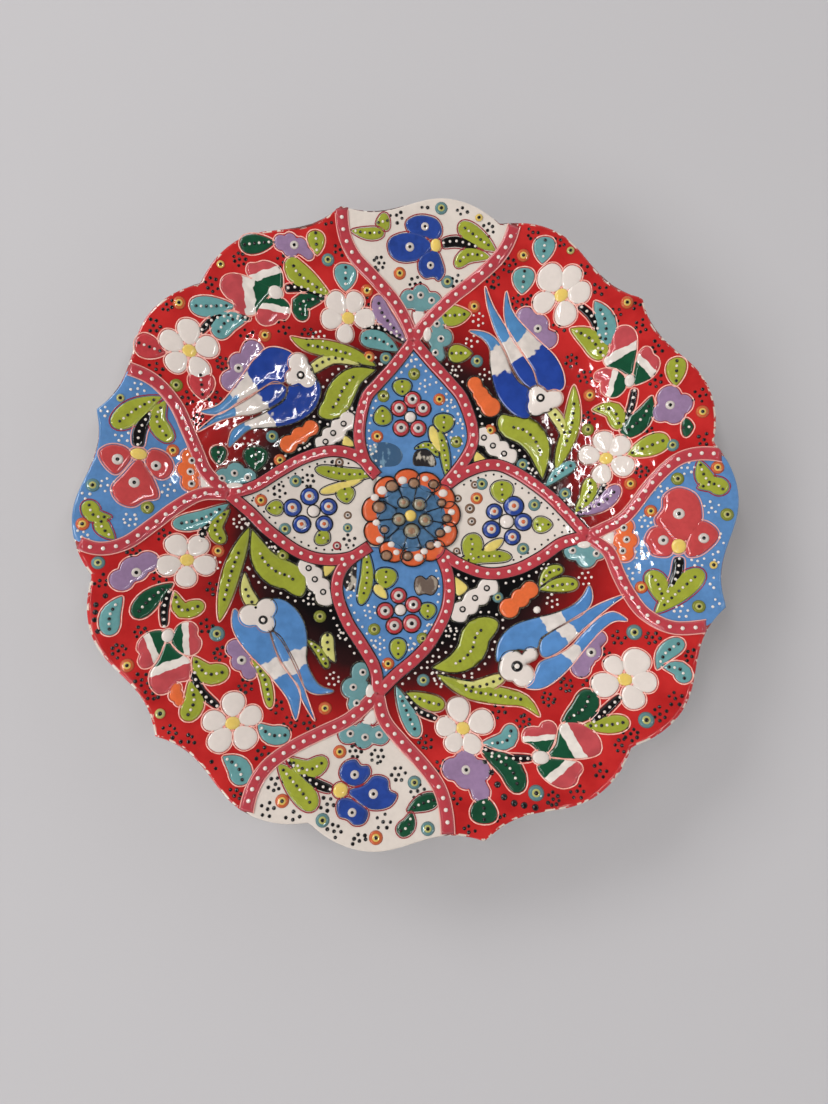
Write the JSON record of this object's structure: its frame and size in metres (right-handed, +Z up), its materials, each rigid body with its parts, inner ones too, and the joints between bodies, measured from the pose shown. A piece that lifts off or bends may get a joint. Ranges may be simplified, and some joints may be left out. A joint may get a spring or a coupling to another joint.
{
  "type": "ceramic plate",
  "caption": "Shallow round relief-painted ceramic plate with a wavy cusped rim, a foot ring, panels of coloured glaze, dotted bands and raised enamel flowers.",
  "frame": {"origin": "centre of the plate on the plane its foot ring stands on", "axes": "+Z up out of the painted face; +Y towards the upper cream rim panel; +X towards the right blue rim panel"},
  "size_m": [0.1798, 0.1784, 0.0278],
  "materials": {
    "clay": "fired quartz clay under a clear glaze, slightly chipped at the rim",
    "red_glaze": "wet gloss, deep red shaded to brown black towards the middle",
    "blue_glaze": "wet gloss sky blue",
    "cream_glaze": "wet gloss warm white",
    "band_enamel": "raised rose red with white dots and pale outlines",
    "medallion_enamel": "raised orange, white and blue petals with brown beads",
    "white_enamel": "raised warm white",
    "green_enamel": "raised dark green, white and rose petals",
    "cobalt_enamel": "raised cobalt blue",
    "sky_enamel": "raised sky blue",
    "lime_enamel": "raised lime green",
    "coral_enamel": "raised rose red"
  },
  "bodies": {
    "root": {"clay_body": "clay", "petal_panel_top": "blue_glaze", "petal_panel_right": "cream_glaze", "petal_panel_bottom": "blue_glaze", "petal_panel_left": "cream_glaze", "petal_band_top": "band_enamel", "petal_band_right": "band_enamel", "petal_band_bottom": "band_enamel", "petal_band_left": "band_enamel", "rim_panel_top": "cream_glaze", "rim_panel_right": "blue_glaze", "rim_panel_bottom": "cream_glaze", "rim_panel_left": "blue_glaze", "rim_band_top": "band_enamel", "rim_band_right": "band_enamel", "rim_band_bottom": "band_enamel", "rim_band_left": "band_enamel", "medallion": "medallion_enamel", "corner_glaze_upper_right": "red_glaze", "corner_glaze_upper_left": "red_glaze", "corner_glaze_lower_left": "red_glaze", "corner_glaze_lower_right": "red_glaze", "white_flower_upper_right_outer": "white_enamel", "white_flower_upper_right_inner": "white_enamel", "white_flower_upper_left_outer": "white_enamel", "white_flower_upper_left_inner": "white_enamel", "white_flower_lower_left_outer": "white_enamel", "white_flower_lower_left_inner": "white_enamel", "white_flower_lower_right_outer": "white_enamel", "white_flower_lower_right_inner": "white_enamel", "tricolour_flower_upper_right": "green_enamel", "tricolour_flower_upper_left": "green_enamel", "tricolour_flower_lower_left": "green_enamel", "tricolour_flower_lower_right": "green_enamel", "tulip_upper_right": "cobalt_enamel", "tulip_upper_left": "cobalt_enamel", "tulip_lower_left": "sky_enamel", "tulip_lower_right": "sky_enamel", "broad_leaf_upper_right": "lime_enamel", "slim_leaf_upper_right": "lime_enamel", "broad_leaf_upper_left": "lime_enamel", "slim_leaf_upper_left": "lime_enamel", "broad_leaf_lower_left": "lime_enamel", "slim_leaf_lower_left": "lime_enamel", "broad_leaf_lower_right": "lime_enamel", "slim_leaf_lower_right": "lime_enamel", "panel_flower_top": "cobalt_enamel", "panel_flower_right": "coral_enamel", "panel_flower_bottom": "cobalt_enamel", "panel_flower_left": "coral_enamel", "rosette_top": "coral_enamel", "rosette_right": "cobalt_enamel", "rosette_bottom": "coral_enamel", "rosette_left": "cobalt_enamel"}
  },
  "joints": []
}
